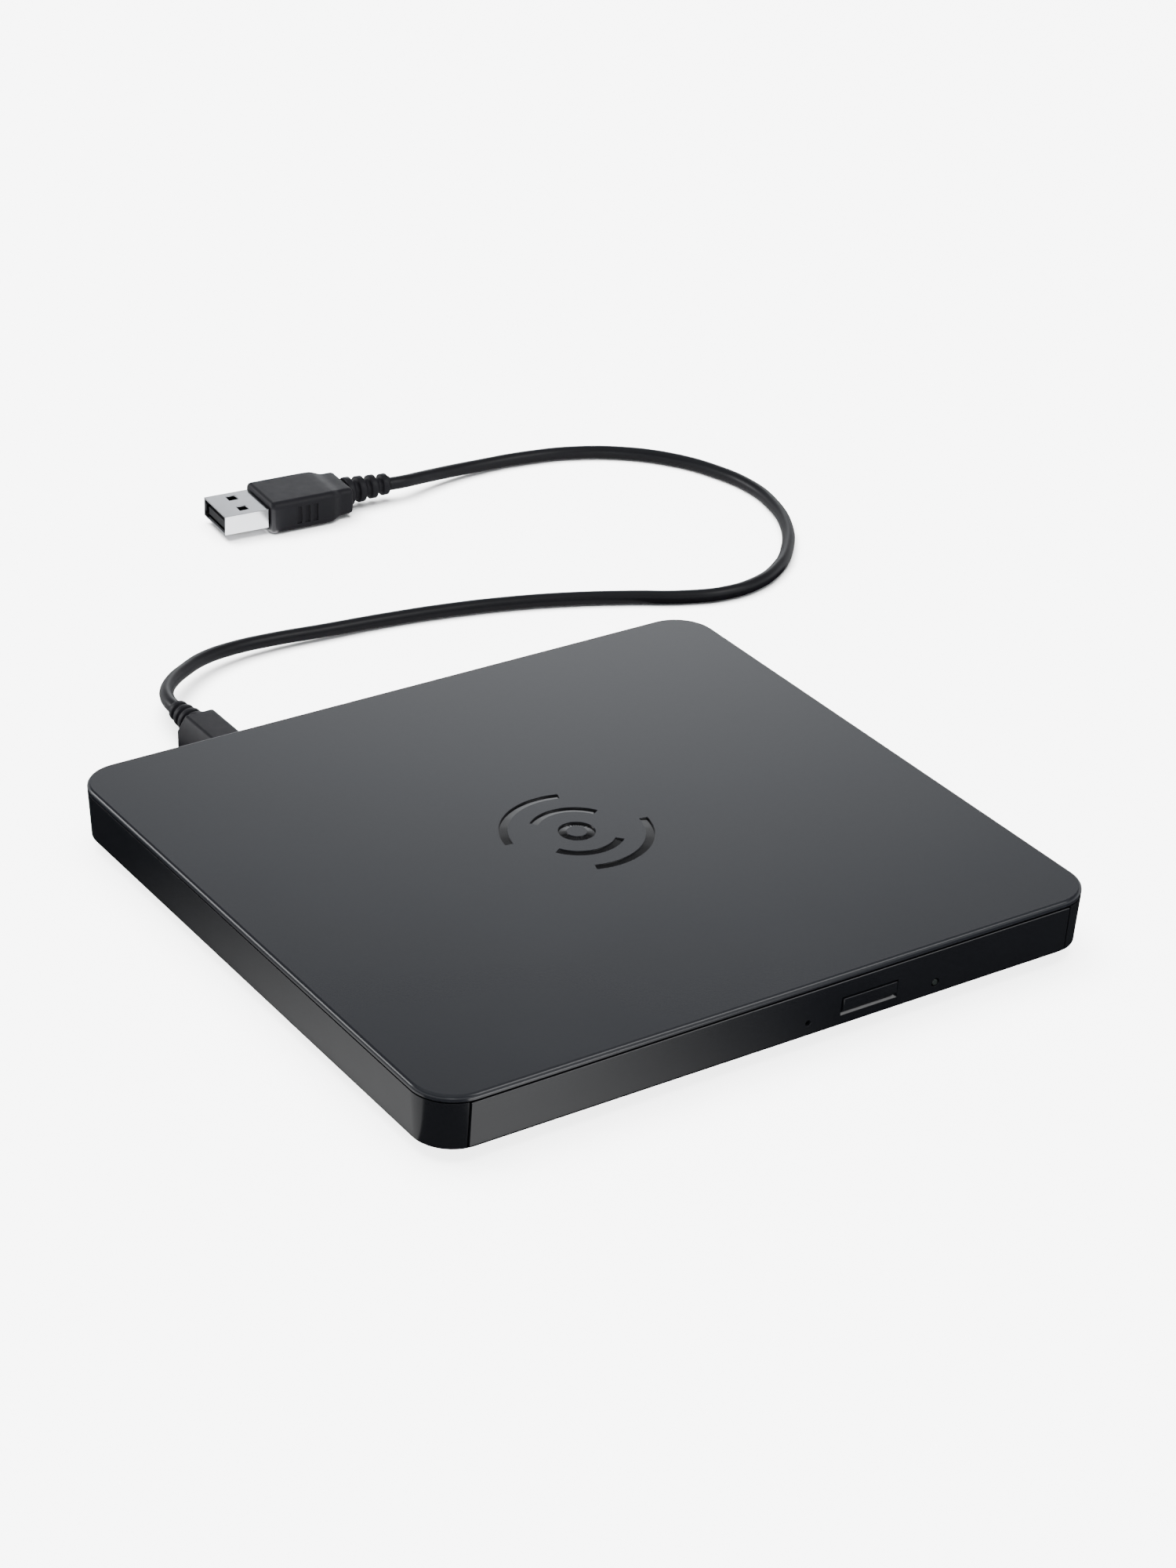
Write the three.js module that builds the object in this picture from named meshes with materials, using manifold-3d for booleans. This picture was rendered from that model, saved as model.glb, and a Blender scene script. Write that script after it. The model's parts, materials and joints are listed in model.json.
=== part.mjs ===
// A slim external optical drive with its USB cable, in millimetres, +Z up.
// The tray slides out towards -Y; the origin is the middle of the drive's footprint on the table.

import * as THREE from 'three';
import { mergeVertices } from 'three/addons/utils/BufferGeometryUtils.js';
import Module from 'manifold-3d';

const wasm = await Module();
wasm.setup();

// ---- driving dimensions ----

const GAP = 0.3;
const QUARTER = Math.PI / 2;
const SIDES = [-1, 1];

// How far a cutting solid runs past the face that it cuts.
const PAST = 1;

// Facets round a full turn.
const FACETS = { thread: 10, pin: 12, rod: 16, sleeve: 20, lathe: 24, disc: 36, well: 72 };

const CASE = { halfX: 72, halfY: 67.5, corner: 8.5, arcSteps: 8 };

const LID = {
  bottom: 12.8,
  top: 14,
  fillet: 0.7,
  filletSteps: 4,
  skirtBottom: 11.9,
  skirtOuter: 1.9,
  skirtInner: 2.9,
  bossRadius: 2,
  bossBottom: 9,
  pilotTop: 12.2,
};

const SHELL = {
  chamferBottom: 0.9,
  chamferInset: 4.2,
  wallBottom: 3,
  wallInset: 0.62,
  rim: 12.5,
  rimInset: 0.05,
  floorTop: 2,
  innerFloorInset: 4.5,
  innerBend: 3.7,
  innerBendInset: 2.15,
  innerRimInset: 1.55,
  mouthHalf: 65.2,
  mouthSill: 2.9,
  mouthDepth: 63,
};

const FASTENER = { x: 65.6, y: 55, bossRadius: 2.2, bossTop: 8.7, bore: 1.15, head: 1.95, shoulder: 2.5 };
const SCREW = { headRadius: 1.6, headBottom: 1.2, headTop: 2.2, shank: 0.85, tip: 11.6, recess: 0.5 };
const FOOT = { x: 56, y: 54, radius: 4, edge: 0.4, top: 1.2, recessTop: 1.5 };
const RIB = { x: [63.6, 70], y: [-65.2, -63.9], z: [1.8, 11.6] };
const LABEL = { halfX: 38, front: -22, back: 22, depth: 0.3 };

// The mark in the lid: arcs round a small ring, like a spinning disc. Each groove's floor slopes down
// from its inner edge to its outer edge, and depth gives both.
const MARK = {
  depth: [0.2, 0.35],
  ring: [2, 3.6],
  arcs: [[7.6, 9.3], [13.1, 14.8]],
  sweep: 1.75,
  turn: [0.55, 1.25],
  reach: 20,
};

const PAN = { halfX: 63, sheet: 0.4, front: -62.8, back: 59.4, bottom: 2.3, top: 11.2 };
const DRIVE_COVER = { bottom: 11.5, top: 11.9 };

const RAIL = { outer: 62.1, web: 61.5, lip: 59.9, z: [3.2, 3.7, 5.3, 5.8], y: [-60, 56] };
const SLIDE = { x: [59.5, 61.2], y: [-58, 50], z: [4, 5] };

// The disc turns about DISC.y, on the drive's centre line.
const DISC = { y: -4.2, wellRadius: 60.4, smallRadius: 40.4 };

const TRAY = {
  halfX: 61.9,
  front: -65.2,
  back: 58.2,
  deckBottom: 6.1,
  floor: 7.1,
  smallFloor: 6.8,
  top: 10.4,
  lowerHalfX: 59.2,
  lowerBottom: 3.3,
  cavityHalfX: 58,
  frontWall: 1.2,
  pocketTop: 9.2,
  pocketHalfX: 57.9,
  pocketRadius: 61.6,
  pocketBack: 57,
};

const WINDOW = { x: [-21, 25], y: [-22, 52.5], slotHalfX: 10, slotStart: 50, notchEnd: 60 };

const BEZEL = {
  halfX: 64.8,
  front: -67.45,
  frontLow: -66.9,
  back: -65.5,
  bottom: 3.2,
  top: 12.35,
  edge: 0.12,
  lip: -66.5,
};
const BUTTON = { x: [13.3, 25.3], z: [5.8, 8.6], front: -67.45, back: -65.8, chamfer: 0.55 };
const PINHOLE = { x: 5.8, z: 5.7, radius: 0.6 };
const LED = { x: 34.4, z: 5.4, radius: 0.6, front: -67, back: -65.7 };

const BOARD = { x: [-52, 26], y: [-62, -34], z: [3.9, 4.7], notch: 9 };
const TRAY_CHIP = { x: [-34, -20], y: [-56, -42], z: [5, 5.8] };
const SWITCH = { x: [16.3, 22.3], y: [-61.6, -58.4], z: [5, 5.8] };

const MOUNT = { x: [-25.5, 29.5], y: [-14, 47], ear: 3.8, bore: 2.3, grommet: 2, hole: 0.95, post: 0.6 };
const MOUNT_Z = { grommet: [3.7, 5.8], post: [3.6, 6.3] };
const SHIELD = { x: [-31, 34], y: [-31, 57.5], z: [3, 3.3], hole: 0.9 };
const FRAME = { x: [-23, 27], y: [-23, 57.8], z: [4, 5.7] };
const FRAME_WINDOW = { x: [-18.8, 22.8], y: [8, 56.4] };
const MOTOR_SLOT = { x: [15.4, 23.6], y: [-9, 8.4] };

const SPINDLE = { radius: 10.5, clear: 10.9, bottom: 3.6, rim: 5.9, neck: 7, top: 7.6 };
const TURNTABLE = {
  bottom: 7.9,
  hub: 6,
  under: 8.5,
  radius: 14.4,
  seat: 9.2,
  cone: 7.4,
  coneTop: 6.4,
  shoulder: 10,
  top: 10.7,
};
const ROD = { x: 16, z: 4.9, radius: 0.9, y: [8.3, 56.1] };
const SCREW_DRIVE = { x: 20.3, z: 4.9, radius: 0.8, groove: 0.55, pitch: 3, y: [8.7, 55.9] };
const SLED_MOTOR = { x: [15.7, 23.3], y: [-8.6, 7.9], z: [3.6, 7], corner: 1.2 };

// The pickup at its innermost track; the lens stands LENS_Y from the drive's centre line.
const LENS_Y = 19.8;
const SLED = {
  halfX: 14,
  back: 8,
  ahead: 2.6,
  bottom: 3.6,
  shoulder: 5.8,
  headHalfX: 9.5,
  headBack: 6,
  headAhead: 4,
  top: 7.4,
  lip: 5.9,
  ear: [13.7, 18.3],
  earAhead: -1,
  earZ: [3.6, 6.7],
  bore: 1.2,
  finger: [18.2, 19.2],
  fingerY: [1, 3],
  fingerZ: [4.3, 5.5],
};
const ACTUATOR = { halfX: 5.1, back: 4, ahead: 3, z: [6.6, 7.3], bore: 1.9, clear: 0.4, pocket: 6.2 };
const LENS = { radius: 1.6, bottom: 6.9, edge: 7.3, dome: 0.5, domeSteps: 4 };

const POST = { x: 49, y: -58, radius: 1, z: [3.2, 5.6] };
const HOOK = {
  pivot: [45.5, -46],
  hub: 2.4,
  bore: 1.1,
  arm: [44.6, 47.2],
  jaw: [47, 50.2],
  y: [-56.4, -54.6],
  z: [4, 5.4],
};
const PIVOT = { radius: 0.8, z: [3.6, 5.8] };
const SOLENOID = { x: [28.5, 40.5], y: [-60.5, -54.5], z: [3.6, 5.8] };
const PUSHER = {
  x: [51.5, 56.5],
  y: [44, 57],
  z: [3.2, 5.8],
  bore: 1.2,
  boreEnd: 55,
  axis: [54, 4.5],
  pin: 0.8,
  pinY: [37.9, 52],
};
const TAB = { x: [52, 56], y: [36, 37.5], z: [3.8, 9.5] };
const FLEX = { x: [-46, -32], y: [-20, 58], z: [3.2, 3.4] };

const BRIDGE = { x: [-52, 34], y: [59.9, 63.5], z: [2.7, 3.5] };
const BRIDGE_CHIP = { x: [-18, -8], y: [60.3, 63.2], z: [3.8, 4.8] };
const CONNECTOR = { x: [0, 28], y: [60, 63.3], z: [3.8, 8] };

// The small socket in the back and the plug in it share one axis.
const SOCKET = { x: -34.3, z: 5.4, halfX: 4, halfZ: 1.5, wall: 0.3, y: [60.6, 66.4], backWall: 0.4 };
const SOCKET_HOLE = { halfX: 4.6, halfZ: 2.1 };
const TONGUE = { halfX: 2.6, halfZ: 0.3, y: [61.3, 65.6] };
const TIP = { halfX: 3.4, halfZ: 0.9, wall: 0.3, y: [62, 67.7] };
// Half of the plug's section, from its axis: [X, Z] from the underside to the roof.
const PLUG = { y: [68, 86.6], half: [[4.2, -3.8], [5, -3], [5, 0.6], [3.1, 3.7]] };
const PLUG_RELIEF = { y: [86.9, 95.5], start: 3.1, end: 2.2, ribs: 4, groove: 0.6 };

const CORD = { radius: 1.5, sides: 8, steps: 72 };

// The cord's centre line, from the drive's plug to the computer's plug: it comes down to the table,
// runs across behind the drive and turns back in one wide loop.
const CORD_ROUTE = [
  [-34.3, 95.8, 5.4],
  [-34.3, 97.5, 5.4],
  [-34, 99.8, 5.3],
  [-33.3, 102.2, 5.2],
  [-32, 104.8, 5],
  [-28.5, 109, 4.6],
  [-23.5, 113, 4.1],
  [-17, 116.8, 3.6],
  [-9, 119, 3],
  [1, 119.6, 2.4],
  [13, 118.8, 1.9],
  [27, 117.5, 1.6],
  [41, 115, 1.6],
  [55, 111.3, 1.6],
  [68, 106.5, 1.6],
  [80, 100.7, 1.6],
  [90, 95.2, 1.6],
  [99, 92.3, 1.6],
  [108, 92.8, 1.6],
  [117, 97, 1.6],
  [125, 104.3, 1.6],
  [132, 114.5, 1.6],
  [136.3, 126, 1.6],
  [137.5, 136.5, 1.6],
  [135.5, 147, 1.6],
  [130.5, 157.8, 1.6],
  [122, 167, 1.6],
  [112, 172.8, 1.6],
  [100, 176, 1.6],
  [88, 176.8, 1.8],
  [77, 175.9, 2.6],
  [70, 174.5, 3.4],
  [65, 173.6, 3.9],
  [61.55, 173.85, 4],
];

// The computer's plug lies on the table, its mouth towards -X; x runs from the mouth back to the cord.
const USB = { place: [18.4, 177.6], turn: -5 * THREE.MathUtils.DEG2RAD, z: 4 };
const USB_SHELL = { length: 10.7, halfY: 6, halfZ: 2.25, wall: 0.35, hole: [4.5, 6.7], holeY: [1.9, 4.1] };
const USB_TONGUE = { x: [0.8, 10.5], halfY: 5, z: [2.4, 4.2] };
const USB_BODY = {
  x: [11, 32],
  halfY: 7.3,
  waist: 5.9,
  step: [26.5, 28.6],
  z: [0.15, 7.7],
  rearZ: [0.7, 7.1],
  corner: 1,
};
const USB_GRIP = { x: [17.2, 19.2, 21.2], width: 1.2, y: [6.75, 8], z: [1.8, 6] };
const USB_RELIEF = { x: [32.3, 43], start: 3.3, end: 2.5, ribs: 4, groove: 0.6 };

// ---- materials ----

function material(color, roughness, metalness = 0) {
  return new THREE.MeshStandardMaterial({ color, roughness, metalness });
}

const MATERIAL = {
  lid: material('#3d3f45', 0.3),
  shell: material('#2e3035', 0.25),
  bezel: material('#35373d', 0.25),
  rubber: material('#141416', 0.85),
  trayPlastic: material('#232428', 0.5),
  innerPlastic: material('#1a1b1e', 0.6),
  whitePlastic: material('#d9d6cc', 0.5),
  steel: material('#a9acb0', 0.35, 0.9),
  darkSteel: material('#55585e', 0.4, 0.8),
  aluminium: material('#b9bcc2', 0.45, 0.9),
  nickel: material('#d6d8dc', 0.18, 1),
  brass: material('#b08d45', 0.35, 0.9),
  board: material('#1f4d36', 0.5),
  chip: material('#17181a', 0.55),
  flex: material('#8a5a24', 0.5),
  glass: material('#7f9bc4', 0.05),
  led: material('#3a3f3c', 0.2),
  overmold: material('#3a3941', 0.45),
  cord: material('#26262b', 0.4),
};

// ---- shape helpers ----

// A closed geometry as a solid that can be joined and cut.
function solid(geometry) {
  geometry.deleteAttribute('normal');
  geometry.deleteAttribute('uv');
  const merged = mergeVertices(geometry);
  return new wasm.Manifold(
    new wasm.Mesh({
      numProp: 3,
      vertProperties: merged.getAttribute('position').array,
      triVerts: Uint32Array.from(merged.getIndex().array),
    }),
  );
}

function geometryOf(shape) {
  const mesh = shape.getMesh();
  const geometry = new THREE.BufferGeometry();
  geometry.setAttribute('position', new THREE.BufferAttribute(mesh.vertProperties, 3));
  geometry.setIndex(new THREE.BufferAttribute(mesh.triVerts, 1));
  geometry.computeVertexNormals();
  return geometry;
}

function part(name, shape, look, place = [0, 0, 0]) {
  const mesh = new THREE.Mesh(geometryOf(shape), look);
  mesh.name = name;
  mesh.position.set(...place);
  return mesh;
}

function block([x0, x1], [y0, y1], [z0, z1]) {
  const box = new THREE.BoxGeometry(x1 - x0, y1 - y0, z1 - z0);
  return solid(box.translate((x0 + x1) / 2, (y0 + y1) / 2, (z0 + z1) / 2));
}

function middle(half) {
  return [-half, half];
}

function around(centre, half) {
  return [centre - half, centre + half];
}

// A range given for the right side, on either side.
function sided([low, high], side) {
  return side > 0 ? [low, high] : [-high, -low];
}

// A cylinder along Z.
function post(radius, [z0, z1], x = 0, y = 0, segments = FACETS.rod) {
  const rod = new THREE.CylinderGeometry(radius, radius, z1 - z0, segments);
  return solid(rod.rotateX(QUARTER).translate(x, y, (z0 + z1) / 2));
}

// A cylinder along Y.
function rodY(radius, [y0, y1], x, z) {
  const rod = new THREE.CylinderGeometry(radius, radius, y1 - y0, FACETS.rod);
  return solid(rod.translate(x, (y0 + y1) / 2, z));
}

// A profile of [radius, height] turned about an axis: 'x', 'y' or 'z'.
function turned(profile, axis, segments = FACETS.lathe) {
  const points = profile.map(([radius, height]) => new THREE.Vector2(radius, height));
  const lathe = new THREE.LatheGeometry(points, segments);
  if (axis === 'z') lathe.rotateX(QUARTER);
  if (axis === 'x') lathe.rotateZ(-QUARTER);
  return solid(lathe);
}

function outline(points) {
  return new THREE.Shape(points.map(([u, v]) => new THREE.Vector2(u, v)));
}

function plate(shape, [z0, z1]) {
  const slab = new THREE.ExtrudeGeometry(shape, { depth: z1 - z0, bevelEnabled: false });
  return solid(slab.translate(0, 0, z0));
}

// A section in Y and Z swept along X.
function beamX(section, [x0, x1]) {
  const bar = new THREE.ExtrudeGeometry(section, { depth: x1 - x0, bevelEnabled: false });
  return solid(bar.rotateX(QUARTER).rotateZ(QUARTER).translate(x0, 0, 0));
}

// A section in X and Z swept along Y.
function beamY(section, [y0, y1]) {
  const bar = new THREE.ExtrudeGeometry(section, { depth: y1 - y0, bevelEnabled: false });
  return solid(bar.rotateX(QUARTER).translate(0, y1, 0));
}

function roundedRect(halfX, halfY, radius) {
  const shape = new THREE.Shape();
  shape.absarc(halfX - radius, halfY - radius, radius, 0, QUARTER);
  shape.absarc(radius - halfX, halfY - radius, radius, QUARTER, 2 * QUARTER);
  shape.absarc(radius - halfX, radius - halfY, radius, 2 * QUARTER, 3 * QUARTER);
  shape.absarc(halfX - radius, radius - halfY, radius, 3 * QUARTER, 4 * QUARTER);
  return shape;
}

// The case's outline carried through levels of [height, inset], from the lowest to the highest.
function caseForm(levels) {
  const rings = levels.map(([height, inset]) =>
    roundedRect(CASE.halfX - inset, CASE.halfY - inset, CASE.corner - inset)
      .getPoints(CASE.arcSteps)
      .map((point) => [point.x, point.y, height]),
  );
  const count = rings[0].length;
  const index = [];
  for (let level = 0; level + 1 < rings.length; level += 1) {
    for (let i = 0; i < count; i += 1) {
      const a = level * count + i;
      const b = level * count + ((i + 1) % count);
      index.push(a, b, b + count, a, b + count, a + count);
    }
  }
  const last = (rings.length - 1) * count;
  for (let i = 1; i + 1 < count; i += 1) {
    index.push(0, i + 1, i);
    index.push(last, last + i, last + i + 1);
  }
  const geometry = new THREE.BufferGeometry();
  geometry.setAttribute('position', new THREE.Float32BufferAttribute(rings.flat(2), 3));
  geometry.setIndex(index);
  return solid(geometry);
}

// Every pairing of the given X and Y places.
function grid(xs, ys) {
  return xs.flatMap((x) => ys.map((y) => [x, y]));
}

function joined(first, others) {
  return others.reduce((sum, next) => sum.add(next), first);
}

function cut(first, others) {
  return others.reduce((rest, next) => rest.subtract(next), first);
}

// A round groove of the mark, with a floor that slopes down from its inner edge.
function grooveRing([inner, outer]) {
  const over = LID.top + GAP;
  const [shallow, deep] = MARK.depth.map((depth) => LID.top - depth);
  const profile = [[inner, shallow], [outer, deep], [outer, over], [inner, over]];
  return turned([...profile, profile[0]], 'z', FACETS.well);
}

// A wedge from the lid's middle, wide enough to keep one arc of a groove.
function wedge(start, sweep) {
  const rim = [0, 0.5, 1].map((share) => {
    const angle = start + share * sweep;
    return [MARK.reach * Math.cos(angle), MARK.reach * Math.sin(angle)];
  });
  return plate(outline([[0, 0], ...rim]), [LID.bottom, LID.top + PAST]);
}

// A tapered sleeve with ribs, as a profile of [radius, distance].
function ribbedProfile([from, to], { start, end, ribs, groove }) {
  const pitch = (to - from) / (2 * ribs - 1);
  const profile = [[0, from]];
  for (let i = 0; i < 2 * ribs - 1; i += 1) {
    const taper = start + ((end - start) * i) / (2 * ribs - 2);
    const radius = i % 2 ? taper - groove : taper;
    profile.push([radius, from + i * pitch], [radius, from + (i + 1) * pitch]);
  }
  profile.push([0, to]);
  return profile;
}

// ---- the case ----

const screwPlaces = grid(middle(FASTENER.x), middle(FASTENER.y));
const footPlaces = grid(middle(FOOT.x), middle(FOOT.y));

function lidMark() {
  const arcs = MARK.arcs.flatMap((band, i) =>
    [0, Math.PI].map((half) => grooveRing(band).intersect(wedge(MARK.turn[i] + half, MARK.sweep))),
  );
  return joined(grooveRing(MARK.ring), arcs);
}

function topCover() {
  const levels = [[LID.bottom, SHELL.rimInset]];
  for (let i = 0; i <= LID.filletSteps; i += 1) {
    const angle = (QUARTER * i) / LID.filletSteps;
    const inset = LID.fillet * (1 - Math.cos(angle));
    levels.push([LID.top - LID.fillet * (1 - Math.sin(angle)), inset]);
  }
  const deep = LID.bottom + LID.fillet;
  const skirt = caseForm([[LID.skirtBottom, LID.skirtOuter], [deep, LID.skirtOuter]])
    .subtract(caseForm([[LID.skirtBottom - PAST, LID.skirtInner], [deep + PAST, LID.skirtInner]]))
    .subtract(block(middle(SHELL.mouthHalf + PAST), [-CASE.halfY, -SHELL.mouthDepth], [0, deep + PAST]));
  const bosses = screwPlaces.map(([x, y]) => post(LID.bossRadius, [LID.bossBottom, deep], x, y));
  const pilotZ = [LID.bossBottom - PAST, LID.pilotTop];
  const pilots = screwPlaces.map(([x, y]) => post(FASTENER.bore, pilotZ, x, y));
  return cut(joined(caseForm(levels).add(skirt), bosses), [...pilots, lidMark()]);
}

function bottomCase() {
  const outside = caseForm([
    [SHELL.chamferBottom, SHELL.chamferInset],
    [SHELL.wallBottom, SHELL.wallInset],
    [SHELL.rim, SHELL.rimInset],
  ]);
  const inside = caseForm([
    [SHELL.floorTop, SHELL.innerFloorInset],
    [SHELL.innerBend, SHELL.innerBendInset],
    [SHELL.rim + PAST, SHELL.innerRimInset],
  ]);
  const bossZ = [FOOT.recessTop, FASTENER.bossTop];
  const bosses = screwPlaces.map(([x, y]) => post(FASTENER.bossRadius, bossZ, x, y));
  const ribs = SIDES.map((side) => block(sided(RIB.x, side), RIB.y, RIB.z).intersect(outside));
  const mouth = block(
    middle(SHELL.mouthHalf),
    [-CASE.halfY - PAST, -SHELL.mouthDepth],
    [SHELL.mouthSill, LID.top],
  );
  const shell = joined(cut(outside, [inside, mouth]), [...bosses, ...ribs]);
  const bores = screwPlaces.map(([x, y]) => post(FASTENER.bore, [0, LID.top], x, y));
  const heads = screwPlaces.map(([x, y]) => post(FASTENER.head, [0, FASTENER.shoulder], x, y));
  const feet = footPlaces.map(([x, y]) => post(FOOT.radius + GAP, [0, FOOT.recessTop], x, y));
  const socket = block(
    around(SOCKET.x, SOCKET_HOLE.halfX),
    [SOCKET.y[0], CASE.halfY + PAST],
    around(SOCKET.z, SOCKET_HOLE.halfZ),
  );
  const label = block(middle(LABEL.halfX), [LABEL.front, LABEL.back], [0, SHELL.chamferBottom + LABEL.depth]);
  return cut(shell, [...bores, ...heads, ...feet, socket, label]);
}

function foot() {
  return turned(
    [[0, 0], [FOOT.radius - FOOT.edge, 0], [FOOT.radius, FOOT.edge], [FOOT.radius, FOOT.top], [0, FOOT.top]],
    'z',
  );
}

function caseScrew() {
  return turned(
    [
      [0, SCREW.headBottom + SCREW.recess],
      [SCREW.recess, SCREW.headBottom],
      [SCREW.headRadius, SCREW.headBottom],
      [SCREW.headRadius, SCREW.headTop],
      [SCREW.shank, SCREW.headTop],
      [SCREW.shank, SCREW.tip - SCREW.shank],
      [0, SCREW.tip],
    ],
    'z',
    FACETS.rod,
  );
}

// ---- the slim drive's fixed parts ----

function drivePan() {
  const { halfX, sheet, front, back, bottom, top } = PAN;
  const hollow = block(middle(halfX - sheet), [front - PAST, back - sheet], [bottom + sheet, top + PAST]);
  const plugOpening = block(CONNECTOR.x, [back - PAST, back + PAST], CONNECTOR.z);
  return cut(block(middle(halfX), [front, back], [bottom, top]), [hollow, plugOpening]);
}

function driveCover() {
  return block(middle(PAN.halfX), [PAN.front, PAN.back], [DRIVE_COVER.bottom, DRIVE_COVER.top]);
}

function outerRail(side) {
  const { outer, web, lip } = RAIL;
  const [bottom, lower, upper, top] = RAIL.z;
  const section = [
    [outer, bottom],
    [outer, top],
    [lip, top],
    [lip, upper],
    [web, upper],
    [web, lower],
    [lip, lower],
    [lip, bottom],
  ];
  return beamY(outline(section.map(([x, z]) => [x * side, z])), RAIL.y);
}

function slideRail(side) {
  return block(sided(SLIDE.x, side), SLIDE.y, SLIDE.z);
}

function pusherHousing() {
  const [x, z] = PUSHER.axis;
  const bore = rodY(PUSHER.bore, [PUSHER.y[0] - PAST, PUSHER.boreEnd], x, z);
  return block(PUSHER.x, PUSHER.y, PUSHER.z).subtract(bore);
}

function usbSocket() {
  const { x, z, halfX, halfZ, wall, y, backWall } = SOCKET;
  const hollow = block(around(x, halfX - wall), [y[0] + backWall, y[1] + PAST], around(z, halfZ - wall));
  return block(around(x, halfX), y, around(z, halfZ)).subtract(hollow);
}

// ---- the tray ----

function tray() {
  const length = [TRAY.front, TRAY.back];
  const upper = block(middle(TRAY.halfX), length, [TRAY.deckBottom, TRAY.top]);
  const lower = block(middle(TRAY.lowerHalfX), length, [TRAY.lowerBottom, TRAY.deckBottom + GAP]);
  const wellTop = TRAY.top + PAST;
  const inner = TRAY.front + TRAY.frontWall;
  const pocketZ = [TRAY.lowerBottom, TRAY.pocketTop];
  const pocket = block(middle(TRAY.pocketHalfX), [inner, TRAY.pocketBack], pocketZ);
  const hollows = [
    post(DISC.wellRadius, [TRAY.floor, wellTop], 0, DISC.y, FACETS.well),
    post(DISC.smallRadius, [TRAY.smallFloor, wellTop], 0, DISC.y, FACETS.well),
    block(middle(TRAY.cavityHalfX), [inner, TRAY.back + PAST], [0, TRAY.deckBottom]),
    pocket.subtract(post(TRAY.pocketRadius, [0, wellTop], 0, DISC.y, FACETS.well)),
    block(WINDOW.x, WINDOW.y, [0, TRAY.floor + GAP]),
    block(middle(WINDOW.slotHalfX), [WINDOW.slotStart, WINDOW.notchEnd], [0, wellTop]),
  ];
  const pins = grid(MOUNT.x, MOUNT.y).map(([x, y]) => post(MOUNT.post, MOUNT_Z.post, x, y, FACETS.pin));
  return joined(cut(upper.add(lower), hollows), [...pins, block(TAB.x, TAB.y, TAB.z)]);
}

// The tray's front, with a slanted lip under the eject button.
function trayBezel() {
  const { front, frontLow, back, bottom, top, edge, lip } = BEZEL;
  const section = outline([
    [back, bottom],
    [back, top],
    [front + edge, top],
    [front, top - edge],
    [frontLow, bottom + edge],
    [frontLow + edge, bottom],
  ]);
  const through = [front - PAST, back + PAST];
  const slotX = [BUTTON.x[0] - GAP, BUTTON.x[1] + GAP];
  const slotZ = [BUTTON.z[0] - GAP, BUTTON.z[1] + GAP];
  const reach = lip - front + PAST;
  const slant = outline([[lip, slotZ[0]], [lip - reach, slotZ[0]], [lip - reach, slotZ[0] - reach]]);
  const pinhole = rodY(PINHOLE.radius, through, PINHOLE.x, PINHOLE.z);
  const light = rodY(LED.radius + GAP, through, LED.x, LED.z);
  const openings = [block(slotX, through, slotZ), beamX(slant, slotX), pinhole, light];
  return cut(beamX(section, middle(BEZEL.halfX)), openings);
}

function ejectButton() {
  const { front, back, chamfer, z } = BUTTON;
  return beamX(
    outline([
      [back, z[0]],
      [back, z[1]],
      [front, z[1]],
      [front, z[0] + chamfer],
      [front + chamfer, z[0]],
    ]),
    BUTTON.x,
  );
}

function trayBoard() {
  const [x0, x1] = BOARD.x;
  const [y0, y1] = BOARD.y;
  const shape = outline([[x0, y0], [x1, y0], [x1, y1 - BOARD.notch], [x1 - BOARD.notch, y1], [x0, y1]]);
  return plate(shape, BOARD.z);
}

// The thin plate under the disc mechanism, held at the tray's four mounting posts.
function trayShield() {
  const holes = grid(MOUNT.x, MOUNT.y).map(([x, y]) => post(SHIELD.hole, [0, TRAY.top], x, y, FACETS.pin));
  return cut(block(SHIELD.x, SHIELD.y, SHIELD.z), holes);
}

function latchHook() {
  const [x, y] = HOOK.pivot;
  const arm = block(HOOK.arm, [HOOK.y[0], y], HOOK.z);
  const jaw = block(HOOK.jaw, HOOK.y, HOOK.z);
  return post(HOOK.hub, HOOK.z, x, y).add(arm).add(jaw).subtract(post(HOOK.bore, [0, TRAY.top], x, y));
}

// ---- the disc mechanism in the tray ----

function traverseFrame() {
  const ears = grid(MOUNT.x, MOUNT.y).map(([x, y]) => post(MOUNT.ear, FRAME.z, x, y));
  const bores = grid(MOUNT.x, MOUNT.y).map(([x, y]) => post(MOUNT.bore, [0, TRAY.top], x, y));
  return cut(joined(block(FRAME.x, FRAME.y, FRAME.z), ears), [
    ...bores,
    block(FRAME_WINDOW.x, FRAME_WINDOW.y, [0, TRAY.top]),
    block(MOTOR_SLOT.x, MOTOR_SLOT.y, [0, TRAY.top]),
    post(SPINDLE.clear, [0, TRAY.top], 0, DISC.y, FACETS.disc),
  ]);
}

function grommet() {
  const { grommet: outer, hole } = MOUNT;
  const [low, high] = MOUNT_Z.grommet;
  return turned([[hole, low], [outer, low], [outer, high], [hole, high], [hole, low]], 'z', FACETS.rod);
}

function spindleMotor() {
  const { radius, bottom, rim, neck, top } = SPINDLE;
  const profile = [[0, bottom], [radius, bottom], [radius, rim], [neck, rim], [neck, top], [0, top]];
  return turned(profile, 'z', FACETS.disc);
}

function turntable() {
  const { bottom, hub, under, radius, seat, cone, coneTop, shoulder, top } = TURNTABLE;
  return turned(
    [
      [0, bottom],
      [hub, bottom],
      [hub, under],
      [radius, under],
      [radius, seat],
      [cone, seat],
      [cone, shoulder],
      [coneTop, top],
      [0, top],
    ],
    'z',
    FACETS.disc,
  );
}

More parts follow.
